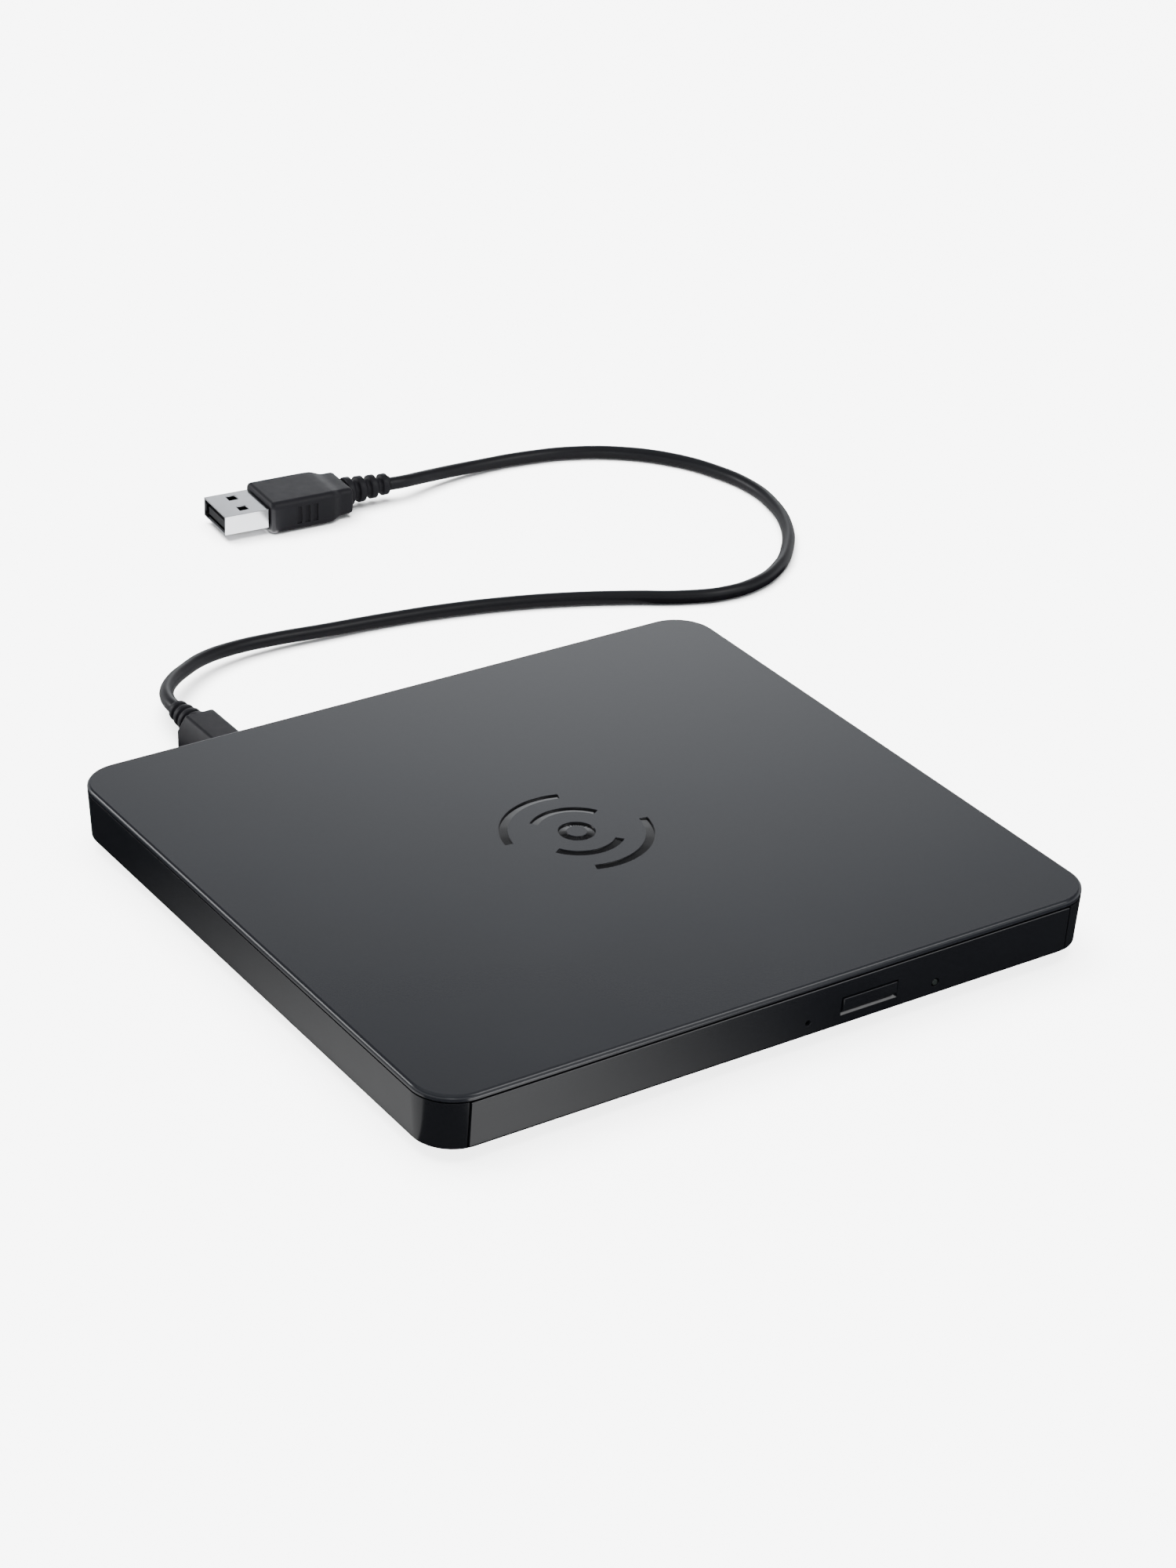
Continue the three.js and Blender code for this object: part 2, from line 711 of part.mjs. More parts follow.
function leadScrew() {
  const { radius, groove, pitch, y } = SCREW_DRIVE;
  const profile = [[0, y[0]], [radius, y[0]]];
  for (let at = y[0] + pitch; at + pitch < y[1]; at += pitch) {
    profile.push([radius, at - groove], [groove, at], [radius, at + groove]);
  }
  profile.push([radius, y[1]], [0, y[1]]);
  return turned(profile, 'y', FACETS.thread).translate([SCREW_DRIVE.x, 0, SCREW_DRIVE.z]);
}

function sledMotor() {
  const [x0, x1] = SLED_MOTOR.x;
  const [z0, z1] = SLED_MOTOR.z;
  const body = roundedRect((x1 - x0) / 2, (z1 - z0) / 2, SLED_MOTOR.corner);
  return beamY(body, SLED_MOTOR.y).translate([(x0 + x1) / 2, 0, (z0 + z1) / 2]);
}

function pickupSled() {
  const back = LENS_Y - SLED.back;
  const body = block(middle(SLED.halfX), [back, LENS_Y + SLED.ahead], [SLED.bottom, SLED.shoulder]);
  const head = block(
    middle(SLED.headHalfX),
    [LENS_Y - SLED.headBack, LENS_Y + SLED.headAhead],
    [SLED.shoulder - GAP, SLED.top],
  );
  const earY = [back, LENS_Y + SLED.earAhead];
  const ears = SIDES.map((side) => block(sided(SLED.ear, side), earY, SLED.earZ));
  const finger = block(SLED.finger, SLED.fingerY.map((y) => back + y), SLED.fingerZ);
  const pocket = block(
    middle(ACTUATOR.halfX + ACTUATOR.clear),
    [LENS_Y - ACTUATOR.back - ACTUATOR.clear, LENS_Y + ACTUATOR.ahead + ACTUATOR.clear],
    [ACTUATOR.pocket, TRAY.top],
  );
  const bores = middle(ROD.x).map((x) => rodY(SLED.bore, ROD.y, x, ROD.z));
  const underLip = block(
    middle(SLED.headHalfX + PAST),
    [LENS_Y + SLED.ahead, LENS_Y + SLED.headAhead + PAST],
    [0, SLED.lip],
  );
  return cut(joined(body, [head, ...ears, finger]), [pocket, underLip, ...bores]);
}

function lensHolder() {
  const { halfX, back, ahead, z, bore } = ACTUATOR;
  const seat = post(bore, [0, TRAY.top], 0, LENS_Y);
  return block(middle(halfX), [LENS_Y - back, LENS_Y + ahead], z).subtract(seat);
}

function lens() {
  const { radius, bottom, edge, dome, domeSteps } = LENS;
  const profile = [[0, bottom], [radius, bottom], [radius, edge]];
  for (let i = 1; i < domeSteps; i += 1) {
    const angle = (QUARTER * i) / domeSteps;
    profile.push([radius * Math.cos(angle), edge + dome * Math.sin(angle)]);
  }
  profile.push([0, edge + dome]);
  return turned(profile, 'z');
}

// ---- the cable ----

function plugTip() {
  const { halfX, halfZ, wall, y } = TIP;
  const inside = around(SOCKET.z, halfZ - wall);
  const hollow = block(around(SOCKET.x, halfX - wall), [y[0] - PAST, y[1] - wall], inside);
  return block(around(SOCKET.x, halfX), y, around(SOCKET.z, halfZ)).subtract(hollow);
}

function plugBody() {
  const otherHalf = PLUG.half.map(([x, z]) => [-x, z]).reverse();
  const section = [...PLUG.half, ...otherHalf].map(([x, z]) => [x + SOCKET.x, z + SOCKET.z]);
  return beamY(outline(section), PLUG.y);
}

function plugRelief() {
  const sleeve = turned(ribbedProfile(PLUG_RELIEF.y, PLUG_RELIEF), 'y', FACETS.sleeve);
  return sleeve.translate([SOCKET.x, 0, SOCKET.z]);
}

function cord() {
  const points = CORD_ROUTE.map((point) => new THREE.Vector3(...point));
  const path = new THREE.CatmullRomCurve3(points, false, 'centripetal');
  const corners = Array.from({ length: CORD.sides }, (_, i) => {
    const angle = (4 * QUARTER * i) / CORD.sides;
    return [CORD.radius * Math.cos(angle), CORD.radius * Math.sin(angle)];
  });
  return solid(new THREE.ExtrudeGeometry(outline(corners), { steps: CORD.steps, extrudePath: path }));
}

function usbShell() {
  const { length, halfY, halfZ, wall, hole, holeY } = USB_SHELL;
  const hollow = block([-PAST, length + PAST], middle(halfY - wall), around(USB.z, halfZ - wall));
  const holes = SIDES.map((side) => block(hole, sided(holeY, side), [0, 2 * USB.z]));
  return cut(block([0, length], middle(halfY), around(USB.z, halfZ)), [hollow, ...holes]);
}

function usbBody() {
  const { x, halfY, waist, step, z, rearZ, corner } = USB_BODY;
  const side = [
    [x[0], halfY - corner],
    [x[0] + corner, halfY],
    [step[0], halfY - GAP],
    [(step[0] + step[1]) / 2, (halfY + waist) / 2],
    [step[1], waist],
  ];
  const otherSide = side.map(([u, v]) => [u, -v]).reverse();
  const grips = USB_GRIP.x.flatMap((at) =>
    SIDES.map((hand) => block([at, at + USB_GRIP.width], sided(USB_GRIP.y, hand), USB_GRIP.z)),
  );
  const rear = block([step[0], x[1]], middle(waist), rearZ);
  return cut(plate(outline([...otherSide, ...side]), z).add(rear), grips);
}

function usbRelief() {
  return turned(ribbedProfile(USB_RELIEF.x, USB_RELIEF), 'x', FACETS.sleeve).translate([0, 0, USB.z]);
}

// ---- the assembly ----

function corners(prefix, places, shape, look) {
  const names = ['front_left', 'back_left', 'front_right', 'back_right'];
  return places.map(([x, y], i) => part(`${prefix}_${names[i]}`, shape, look, [x, y, 0]));
}

function caseGroup() {
  const group = new THREE.Group();
  group.add(part('top_cover', topCover(), MATERIAL.lid));
  group.add(part('bottom_case', bottomCase(), MATERIAL.shell));
  group.add(...corners('foot', footPlaces, foot(), MATERIAL.rubber));
  group.add(...corners('case_screw', screwPlaces, caseScrew(), MATERIAL.darkSteel));
  return group;
}

function fixedDriveGroup() {
  const group = new THREE.Group();
  group.add(part('drive_pan', drivePan(), MATERIAL.steel));
  group.add(part('drive_cover', driveCover(), MATERIAL.steel));
  group.add(part('rail_left', outerRail(-1), MATERIAL.aluminium));
  group.add(part('rail_right', outerRail(1), MATERIAL.aluminium));
  group.add(part('latch_post', post(POST.radius, POST.z, POST.x, POST.y), MATERIAL.steel));
  group.add(part('pusher_housing', pusherHousing(), MATERIAL.innerPlastic));
  group.add(part('pusher_pin', rodY(PUSHER.pin, PUSHER.pinY, ...PUSHER.axis), MATERIAL.steel));
  group.add(part('tray_flex', block(FLEX.x, FLEX.y, FLEX.z), MATERIAL.flex));
  group.add(part('bridge_board', block(BRIDGE.x, BRIDGE.y, BRIDGE.z), MATERIAL.board));
  group.add(part('bridge_chip', block(BRIDGE_CHIP.x, BRIDGE_CHIP.y, BRIDGE_CHIP.z), MATERIAL.chip));
  group.add(part('drive_connector', block(CONNECTOR.x, CONNECTOR.y, CONNECTOR.z), MATERIAL.innerPlastic));
  group.add(part('usb_socket', usbSocket(), MATERIAL.nickel));
  const contacts = block(around(SOCKET.x, TONGUE.halfX), TONGUE.y, around(SOCKET.z, TONGUE.halfZ));
  group.add(part('usb_socket_tongue', contacts, MATERIAL.innerPlastic));
  return group;
}

function trayGroup() {
  const group = new THREE.Group();
  group.add(part('slide_rail_left', slideRail(-1), MATERIAL.steel));
  group.add(part('slide_rail_right', slideRail(1), MATERIAL.steel));
  group.add(part('tray', tray(), MATERIAL.trayPlastic));
  group.add(part('tray_shield', trayShield(), MATERIAL.steel));
  group.add(part('tray_bezel', trayBezel(), MATERIAL.bezel));
  group.add(part('eject_button', ejectButton(), MATERIAL.bezel));
  group.add(part('busy_light', rodY(LED.radius, [LED.front, LED.back], LED.x, LED.z), MATERIAL.led));
  group.add(part('tray_board', trayBoard(), MATERIAL.board));
  group.add(part('tray_chip', block(TRAY_CHIP.x, TRAY_CHIP.y, TRAY_CHIP.z), MATERIAL.chip));
  group.add(part('eject_switch', block(SWITCH.x, SWITCH.y, SWITCH.z), MATERIAL.whitePlastic));
  group.add(part('latch_hook', latchHook(), MATERIAL.whitePlastic));
  group.add(part('latch_pivot', post(PIVOT.radius, PIVOT.z, ...HOOK.pivot), MATERIAL.steel));
  group.add(part('latch_solenoid', block(SOLENOID.x, SOLENOID.y, SOLENOID.z), MATERIAL.darkSteel));
  return group;
}

function mechanismGroup() {
  const group = new THREE.Group();
  group.add(part('traverse_frame', traverseFrame(), MATERIAL.darkSteel));
  group.add(...corners('grommet', grid(MOUNT.x, MOUNT.y), grommet(), MATERIAL.rubber));
  group.add(part('spindle_motor', spindleMotor(), MATERIAL.aluminium, [0, DISC.y, 0]));
  group.add(part('turntable', turntable(), MATERIAL.innerPlastic, [0, DISC.y, 0]));
  group.add(part('guide_rod_left', rodY(ROD.radius, ROD.y, -ROD.x, ROD.z), MATERIAL.nickel));
  group.add(part('guide_rod_right', rodY(ROD.radius, ROD.y, ROD.x, ROD.z), MATERIAL.nickel));
  group.add(part('lead_screw', leadScrew(), MATERIAL.brass));
  group.add(part('sled_motor', sledMotor(), MATERIAL.aluminium));
  group.add(part('pickup_sled', pickupSled(), MATERIAL.aluminium));
  group.add(part('lens_holder', lensHolder(), MATERIAL.innerPlastic));
  group.add(part('pickup_lens', lens(), MATERIAL.glass, [0, LENS_Y, 0]));
  return group;
}

function cableGroup() {
  const group = new THREE.Group();
  group.add(part('plug_tip', plugTip(), MATERIAL.nickel));
  group.add(part('plug_body', plugBody(), MATERIAL.overmold));
  group.add(part('plug_relief', plugRelief(), MATERIAL.overmold));
  group.add(part('cord', cord(), MATERIAL.cord));
  const usb = new THREE.Group();
  usb.position.set(...USB.place, 0);
  usb.rotation.z = USB.turn;
  usb.add(part('usb_relief', usbRelief(), MATERIAL.overmold));
  usb.add(part('usb_body', usbBody(), MATERIAL.overmold));
  usb.add(part('usb_shell', usbShell(), MATERIAL.nickel));
  const insulator = block(USB_TONGUE.x, middle(USB_TONGUE.halfY), USB_TONGUE.z);
  usb.add(part('usb_tongue', insulator, MATERIAL.innerPlastic));
  group.add(usb);
  return group;
}

const drive = new THREE.Group();
drive.add(caseGroup(), fixedDriveGroup(), trayGroup(), mechanismGroup(), cableGroup());

export default drive;
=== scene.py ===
"""The looks of a slim external optical drive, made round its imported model. Metres, +Z up."""

import json
import math

import bmesh
import bpy
from mathutils import Matrix, Vector


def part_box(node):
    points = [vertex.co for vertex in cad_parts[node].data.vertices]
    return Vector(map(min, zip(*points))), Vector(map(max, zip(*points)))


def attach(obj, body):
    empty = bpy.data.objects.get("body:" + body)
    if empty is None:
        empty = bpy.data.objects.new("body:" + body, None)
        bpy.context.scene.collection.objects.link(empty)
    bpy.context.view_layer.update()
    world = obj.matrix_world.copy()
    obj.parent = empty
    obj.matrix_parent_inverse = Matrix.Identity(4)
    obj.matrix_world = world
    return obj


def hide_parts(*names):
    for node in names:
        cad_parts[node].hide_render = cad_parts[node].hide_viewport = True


MM = 0.001

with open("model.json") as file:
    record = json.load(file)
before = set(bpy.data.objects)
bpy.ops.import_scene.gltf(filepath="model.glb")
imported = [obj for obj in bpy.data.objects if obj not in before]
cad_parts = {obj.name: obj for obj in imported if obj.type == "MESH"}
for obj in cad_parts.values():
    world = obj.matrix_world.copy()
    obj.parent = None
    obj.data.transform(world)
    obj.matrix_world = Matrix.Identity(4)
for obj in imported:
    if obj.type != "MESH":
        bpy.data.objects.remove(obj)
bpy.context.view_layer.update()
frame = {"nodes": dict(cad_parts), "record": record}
NODES = frame["nodes"]

# ---- camera ----

CAMERA_PLACE = Vector((-358.5, -530.9, 371.7)) * MM
CAMERA_AZIMUTH = math.radians(-34.19)
CAMERA_ELEVATION = math.radians(28.48)
CAMERA_ROLL = math.radians(2.09)
CAMERA_LENS = 89.26


def link(obj):
    bpy.context.scene.collection.objects.link(obj)
    return obj


def make_camera():
    data = bpy.data.cameras.new("camera")
    data.lens = CAMERA_LENS
    camera = link(bpy.data.objects.new("camera", data))
    level = math.cos(CAMERA_ELEVATION)
    back = Vector(
        (
            math.sin(CAMERA_AZIMUTH) * level,
            -math.cos(CAMERA_AZIMUTH) * level,
            math.sin(CAMERA_ELEVATION),
        )
    )
    right = Vector((math.cos(CAMERA_AZIMUTH), math.sin(CAMERA_AZIMUTH), 0))
    turn = Matrix((right, back.cross(right), back)).transposed().to_4x4()
    roll = Matrix.Rotation(CAMERA_ROLL, 4, "Z")
    camera.matrix_world = Matrix.Translation(CAMERA_PLACE) @ turn @ roll
    bpy.context.scene.camera = camera


make_camera()

# ---- materials ----


def add(tree, kind, inputs=None, **settings):
    """A shader node with its settings, and with values or links on its inputs."""
    node = tree.nodes.new(kind)
    for key, value in settings.items():
        setattr(node, key, value)
    for key, value in (inputs or {}).items():
        if isinstance(value, bpy.types.NodeSocket):
            tree.links.new(value, node.inputs[key])
        else:
            node.inputs[key].default_value = value
    return node


def noise(tree, size, stretch=(1, 1, 1), detail=3.0):
    """A noise with features of about that size in millimetres, drawn out along an axis by stretch."""
    place = add(tree, "ShaderNodeTexCoord").outputs["Object"]
    scaled = add(tree, "ShaderNodeMapping", {"Vector": place, "Scale": [1 / s for s in stretch]})
    inputs = {"Vector": scaled.outputs["Vector"], "Scale": 1 / (size * MM), "Detail": detail}
    return add(tree, "ShaderNodeTexNoise", inputs).outputs["Fac"]


def spread(tree, value, low, high, start=0.2, end=0.8, **settings):
    """Goes from low to high while the value goes from start to end."""
    inputs = {"Value": value, "From Min": start, "From Max": end, "To Min": low, "To Max": high}
    return add(tree, "ShaderNodeMapRange", inputs, **settings).outputs["Result"]


def fade(tree, value, start, end, low, high):
    """A spread with a soft start and a soft end."""
    return spread(tree, value, low, high, start, end, interpolation_type="SMOOTHSTEP")


def blend_colours(tree, share, first, second):
    mix = add(tree, "ShaderNodeMix", data_type="RGBA")
    tree.links.new(share, mix.inputs["Factor"])
    for socket, value in (("A", first), ("B", second)):
        target = next(s for s in mix.inputs if s.name == socket and s.type == "RGBA")
        if isinstance(value, bpy.types.NodeSocket):
            tree.links.new(value, target)
        else:
            target.default_value = (*value, 1)
    return next(s for s in mix.outputs if s.type == "RGBA")


def shade(colour, factor):
    return tuple(channel * factor for channel in colour)


LEAST_ROUGHNESS = 0.02
GLOSS_FINER = 3


def make_material(
    name,
    colour,
    roughness,
    metallic=0.0,
    mottle=12.0,
    contrast=0.08,
    gloss_change=0.04,
    grain=0.3,
    depth=0.004,
    stretch=(1, 1, 1),
    pattern=None,
    **fixed,
):
    """A material whose colour, gloss and surface vary, with sizes in millimetres.

    The inputs in fixed are set as they are.
    """
    material = bpy.data.materials.new(name)
    material.use_nodes = True
    tree = material.node_tree
    tree.nodes.clear()
    share = spread(tree, noise(tree, mottle, stretch), 0, 1)
    base = blend_colours(tree, share, shade(colour, 1 - contrast), shade(colour, 1 + contrast))
    if pattern:
        base = pattern(tree, base)
    gloss = spread(
        tree,
        noise(tree, mottle / GLOSS_FINER, stretch),
        max(LEAST_ROUGHNESS, roughness - gloss_change),
        roughness + gloss_change,
    )
    fine = noise(tree, grain, stretch, detail=2.0)
    bump = add(tree, "ShaderNodeBump", {"Height": fine, "Strength": 1.0, "Distance": depth * MM})
    inputs = {
        "Base Color": base,
        "Roughness": gloss,
        "Metallic": metallic,
        "Normal": bump.outputs["Normal"],
        **fixed,
    }
    shader = add(tree, "ShaderNodeBsdfPrincipled", inputs)
    add(tree, "ShaderNodeOutputMaterial", {"Surface": shader.outputs["BSDF"]})
    return material


TRACK_GREEN = (0.06, 0.2, 0.1)
TRACK_BLOCK = 4


def traces(tree, base):
    """Copper tracks under solder mask."""
    place = add(tree, "ShaderNodeTexCoord").outputs["Object"]
    inputs = {
        "Vector": place,
        "Scale": 1 / (TRACK_BLOCK * MM),
        "Mortar Size": 0.03,
        "Brick Width": 0.9,
        "Row Height": 0.2,
    }
    bricks = add(tree, "ShaderNodeTexBrick", inputs)
    return blend_colours(tree, bricks.outputs["Fac"], base, TRACK_GREEN)


CONDUCTOR_BROWN = (0.12, 0.05, 0.01)
CONDUCTOR_SCALE = 0.3


def conductors(tree, base):
    """Parallel conductors in a flat cable."""
    place = add(tree, "ShaderNodeTexCoord").outputs["Object"]
    inputs = {"Vector": place, "Scale": CONDUCTOR_SCALE / MM}
    bands = add(tree, "ShaderNodeTexWave", inputs, bands_direction="X")
    share = spread(tree, bands.outputs["Fac"], 0, 1, start=0.45, end=0.55)
    return blend_colours(tree, share, base, CONDUCTOR_BROWN)


# The lid's mark in millimetres: a radius just round it, and a depth that only its grooves reach.
MARK_REACH = 22
MARK_DEPTH = 0.08
# Painted shade: the black that the mark's grooves are coloured.
GROOVE_SHADE_BLACK = (0.006, 0.006, 0.007)


def painted_groove_shade(tree, base):
    """Painted shade: colours the grooves of the lid's mark black."""
    place = add(tree, "ShaderNodeTexCoord").outputs["Object"]
    height = add(tree, "ShaderNodeSeparateXYZ", {"Vector": place}).outputs["Z"]
    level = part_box("top_cover")[1].z - MARK_DEPTH * MM
    deep = add(tree, "ShaderNodeMath", {0: height, 1: level}, operation="LESS_THAN").outputs["Value"]
    distance = add(tree, "ShaderNodeVectorMath", {0: place}, operation="LENGTH").outputs["Value"]
    reach = {0: distance, 1: MARK_REACH * MM}
    near = add(tree, "ShaderNodeMath", reach, operation="LESS_THAN").outputs["Value"]
    share = add(tree, "ShaderNodeMath", {0: deep, 1: near}, operation="MULTIPLY").outputs["Value"]
    return blend_colours(tree, share, base, GROOVE_SHADE_BLACK)


FINISHES = {
    # The lid's finish paints shade into the grooves of its mark.
    "lid_plastic": dict(
        colour=(0.027, 0.029, 0.035), roughness=0.2, mottle=60, contrast=0.04, gloss_change=0.01,
        grain=0.22, depth=0.0012, pattern=painted_groove_shade,
    ),
    "shell_plastic": dict(colour=(0.014, 0.015, 0.018), roughness=0.2, mottle=20, depth=0.001),
    "bezel_plastic": dict(colour=(0.014, 0.015, 0.018), roughness=0.18, mottle=20, depth=0.001),
    "foot_rubber": dict(colour=(0.012, 0.012, 0.014), roughness=0.8, mottle=2, grain=0.15, depth=0.02),
    "tray_plastic": dict(colour=(0.02, 0.02, 0.023), roughness=0.48, grain=0.14, depth=0.012),
    "inner_plastic": dict(colour=(0.014, 0.015, 0.017), roughness=0.5, grain=0.14, depth=0.01),
    "white_plastic": dict(colour=(0.68, 0.66, 0.6), roughness=0.45, mottle=4, contrast=0.04, grain=0.2),
    "sheet_steel": dict(
        colour=(0.42, 0.43, 0.45), roughness=0.32, metallic=1.0, mottle=3, stretch=(12, 1, 1),
    ),
    "dark_steel": dict(
        colour=(0.12, 0.125, 0.135), roughness=0.38, metallic=1.0, mottle=3, grain=0.2,
        stretch=(1, 6, 1),
    ),
    "cast_aluminium": dict(
        colour=(0.5, 0.51, 0.54), roughness=0.42, metallic=1.0, mottle=2, grain=0.25, depth=0.015,
    ),
    "bright_nickel": dict(
        colour=(0.55, 0.56, 0.58), roughness=0.16, metallic=1.0, mottle=3, contrast=0.03,
        grain=0.2, depth=0.001,
    ),
    "brass": dict(
        colour=(0.45, 0.3, 0.09), roughness=0.28, metallic=1.0, mottle=1, grain=0.1, depth=0.003,
    ),
    "circuit_board": dict(
        colour=(0.02, 0.09, 0.05), roughness=0.3, mottle=8, grain=0.2, pattern=traces,
    ),
    "chip": dict(colour=(0.013, 0.013, 0.015), roughness=0.5, mottle=2, grain=0.08, depth=0.008),
    "flex": dict(colour=(0.32, 0.13, 0.02), roughness=0.35, mottle=5, pattern=conductors),
    "lens_glass": dict(
        colour=(0.35, 0.5, 0.8), roughness=0.04, gloss_change=0.02, mottle=2, depth=0.0002,
        **{"Transmission Weight": 0.7, "IOR": 1.5},
    ),
    "light_pipe": dict(
        colour=(0.05, 0.06, 0.055), roughness=0.12, mottle=0.5, depth=0.0005,
        **{"Transmission Weight": 0.3, "IOR": 1.49},
    ),
    "overmold": dict(
        colour=(0.018, 0.0175, 0.022), roughness=0.46, mottle=6, grain=0.16, depth=0.01,
        **{"Specular IOR Level": 0.3},
    ),
    "cord_jacket": dict(
        colour=(0.012, 0.012, 0.015), roughness=0.38, mottle=5, grain=0.25, depth=0.005,
        **{"Specular IOR Level": 0.35},
    ),
}
MATERIALS = {slot: make_material(slot, **look) for slot, look in FINISHES.items()}

SLOT_OF = {row["node"]: row["material_slot"] for row in frame["record"]["subparts"]}
BODY_OF = {
    node: body for body, nodes in frame["record"]["behaviour"]["bodies"].items() for node in nodes
}


def paint(obj, slot):
    obj.data.materials.clear()
    obj.data.materials.append(MATERIALS[slot])


def stand_in(obj, node):
    """Puts obj in the place of a CAD node, with the node's body and finish."""
    slot = SLOT_OF[node]
    paint(obj, slot)
    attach(obj, BODY_OF[node])
    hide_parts(node)
    return obj


def extra(obj, body, slot):
    """Adds a piece that has no CAD node of its own to a body."""
    paint(obj, slot)
    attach(obj, body)
    return obj


# ---- shape helpers ----

SHARP = math.radians(35)
FLAT = math.radians(0.5)
SAME_PLACE = 0.001 * MM


def to_object(name, mesh_maker, place=None):
    """An object from a bmesh, smooth, with its place in its mesh."""
    bmesh.ops.recalc_face_normals(mesh_maker, faces=mesh_maker.faces)
    data = bpy.data.meshes.new(name)
    mesh_maker.to_mesh(data)
    mesh_maker.free()
    if place is not None:
        data.transform(place)
    data.shade_smooth()
    return link(bpy.data.objects.new(name, data))


def round_edges(obj, width, segments=2):
    """Rounds an object's sharp edges, with flat faces left flat."""
    weld = obj.modifiers.new("weld", "WELD")
    weld.merge_threshold = SAME_PLACE
    flat = obj.modifiers.new("join_flat_faces", "DECIMATE")
    flat.decimate_type = "DISSOLVE"
    flat.angle_limit = FLAT
    bevel = obj.modifiers.new("round_edges", "BEVEL")
    bevel.width = width * MM
    bevel.segments = segments
    bevel.limit_method = "ANGLE"
    bevel.angle_limit = SHARP
    normals = obj.modifiers.new("weighted_normals", "WEIGHTED_NORMAL")
    normals.weight = 100


def in_metres(numbers):
    """The same numbers, or pairs of numbers, turned from millimetres into metres."""
    return [in_metres(n) if isinstance(n, tuple) else n * MM for n in numbers]


def loft(rings):
    """A closed solid through rings of points, capped at both ends."""
    maker = bmesh.new()
    rows = [[maker.verts.new(point) for point in ring] for ring in rings]
    count = len(rows[0])
    for low, high in zip(rows, rows[1:]):
        for i in range(count):
            j = (i + 1) % count
            maker.faces.new((low[i], low[j], high[j], high[i]))
    maker.faces.new(rows[0])
    maker.faces.new(rows[-1])
    return maker


def lathe(profile, steps=64, ring=False):
    """A solid of revolution about Z, from (radius, height) points in millimetres.

    The profile goes from axis to axis, or, for a ring, once round.
    """
    maker = bmesh.new()
    angles = [2 * math.pi * i / steps for i in range(steps)]
    rows = []
    for radius, height in in_metres(profile):
        if radius == 0:
            rows.append([maker.verts.new((0, 0, height))])
            continue
        rows.append(
            [maker.verts.new((radius * math.cos(a), radius * math.sin(a), height)) for a in angles]
        )
    if ring:
        rows.append(rows[0])
    for low, high in zip(rows, rows[1:]):
        for i in range(steps):
            j = (i + 1) % steps
            corners = [low[i % len(low)], low[j % len(low)], high[j % len(high)], high[i % len(high)]]
            maker.faces.new(list(dict.fromkeys(corners)))
    return maker


def slab(maker, x, y, z):
    """Adds a box with the given ranges, in millimetres, to a bmesh."""
    low, high = (Vector(corner) for corner in zip(*in_metres((x, y, z))))
    made = bmesh.ops.create_cube(maker, size=1)
    bmesh.ops.scale(maker, vec=high - low, verts=made["verts"])
    bmesh.ops.translate(maker, vec=(low + high) / 2, verts=made["verts"])


def cut_with(obj, cutter):
    """Cuts one closed mesh with another and keeps the result."""
    change = obj.modifiers.new("cut", "BOOLEAN")
    change.operation = "DIFFERENCE"
    change.solver = "EXACT"
    change.object = cutter
    bpy.context.view_layer.update()
    evaluated = obj.evaluated_get(bpy.context.evaluated_depsgraph_get())
    data = bpy.data.meshes.new_from_object(evaluated)
    obj.modifiers.clear()
    obj.data = data
    bpy.data.objects.remove(cutter)


def middle_of(node):
    low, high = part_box(node)
    return (low + high) / 2


# ---- the cable ----

CORD_DIAMETER = 3 * MM

# The cord's centre line, from the drive's plug to the computer's plug, in millimetres.
CORD_ROUTE = [
    (-34.3, 95.8, 5.4),
    (-34.3, 97.5, 5.4),
    (-34, 99.8, 5.3),
    (-33.3, 102.2, 5.2),
    (-32, 104.8, 5),
    (-28.5, 109, 4.6),
    (-23.5, 113, 4.1),
    (-17, 116.8, 3.6),
    (-9, 119, 3),
    (1, 119.6, 2.4),
    (13, 118.8, 1.9),
    (27, 117.5, 1.6),
    (41, 115, 1.6),
    (55, 111.3, 1.6),
    (68, 106.5, 1.6),
    (80, 100.7, 1.6),
    (90, 95.2, 1.6),
    (99, 92.3, 1.6),
    (108, 92.8, 1.6),
    (117, 97, 1.6),
    (125, 104.3, 1.6),
    (132, 114.5, 1.6),
    (136.3, 126, 1.6),
    (137.5, 136.5, 1.6),
    (135.5, 147, 1.6),
    (130.5, 157.8, 1.6),
    (122, 167, 1.6),
    (112, 172.8, 1.6),
    (100, 176, 1.6),
    (88, 176.8, 1.8),
    (77, 175.9, 2.6),
    (70, 174.5, 3.4),
    (65, 173.6, 3.9),
    (61.55, 173.85, 4),
]


def make_cord():
    """One smooth round curve along the route."""
    data = bpy.data.curves.new("cable_cord", "CURVE")
    data.dimensions = "3D"
    data.bevel_depth = CORD_DIAMETER / 2
    data.bevel_resolution = 7
    data.use_fill_caps = True
    data.resolution_u = 8
    line = data.splines.new("BEZIER")
    line.bezier_points.add(len(CORD_ROUTE) - 1)
    for knot, place in zip(line.bezier_points, CORD_ROUTE):
        knot.co = Vector(place) * MM
        knot.handle_left_type = "AUTO"
        knot.handle_right_type = "AUTO"
    return stand_in(link(bpy.data.objects.new("cable_cord", data)), "cord")


# The computer's plug has its own frame: X runs from the middle of its mouth to the cord.
USB_SHELL_LENGTH = 10.7
shell_middle = middle_of("usb_shell")
to_cord = middle_of("usb_relief") - shell_middle
to_cord.z = 0
to_cord.normalize()
USB_FRAME = Matrix.Translation(shell_middle - to_cord * USB_SHELL_LENGTH / 2 * MM) @ Matrix.Rotation(
    math.atan2(to_cord.y, to_cord.x), 4, "Z"
)

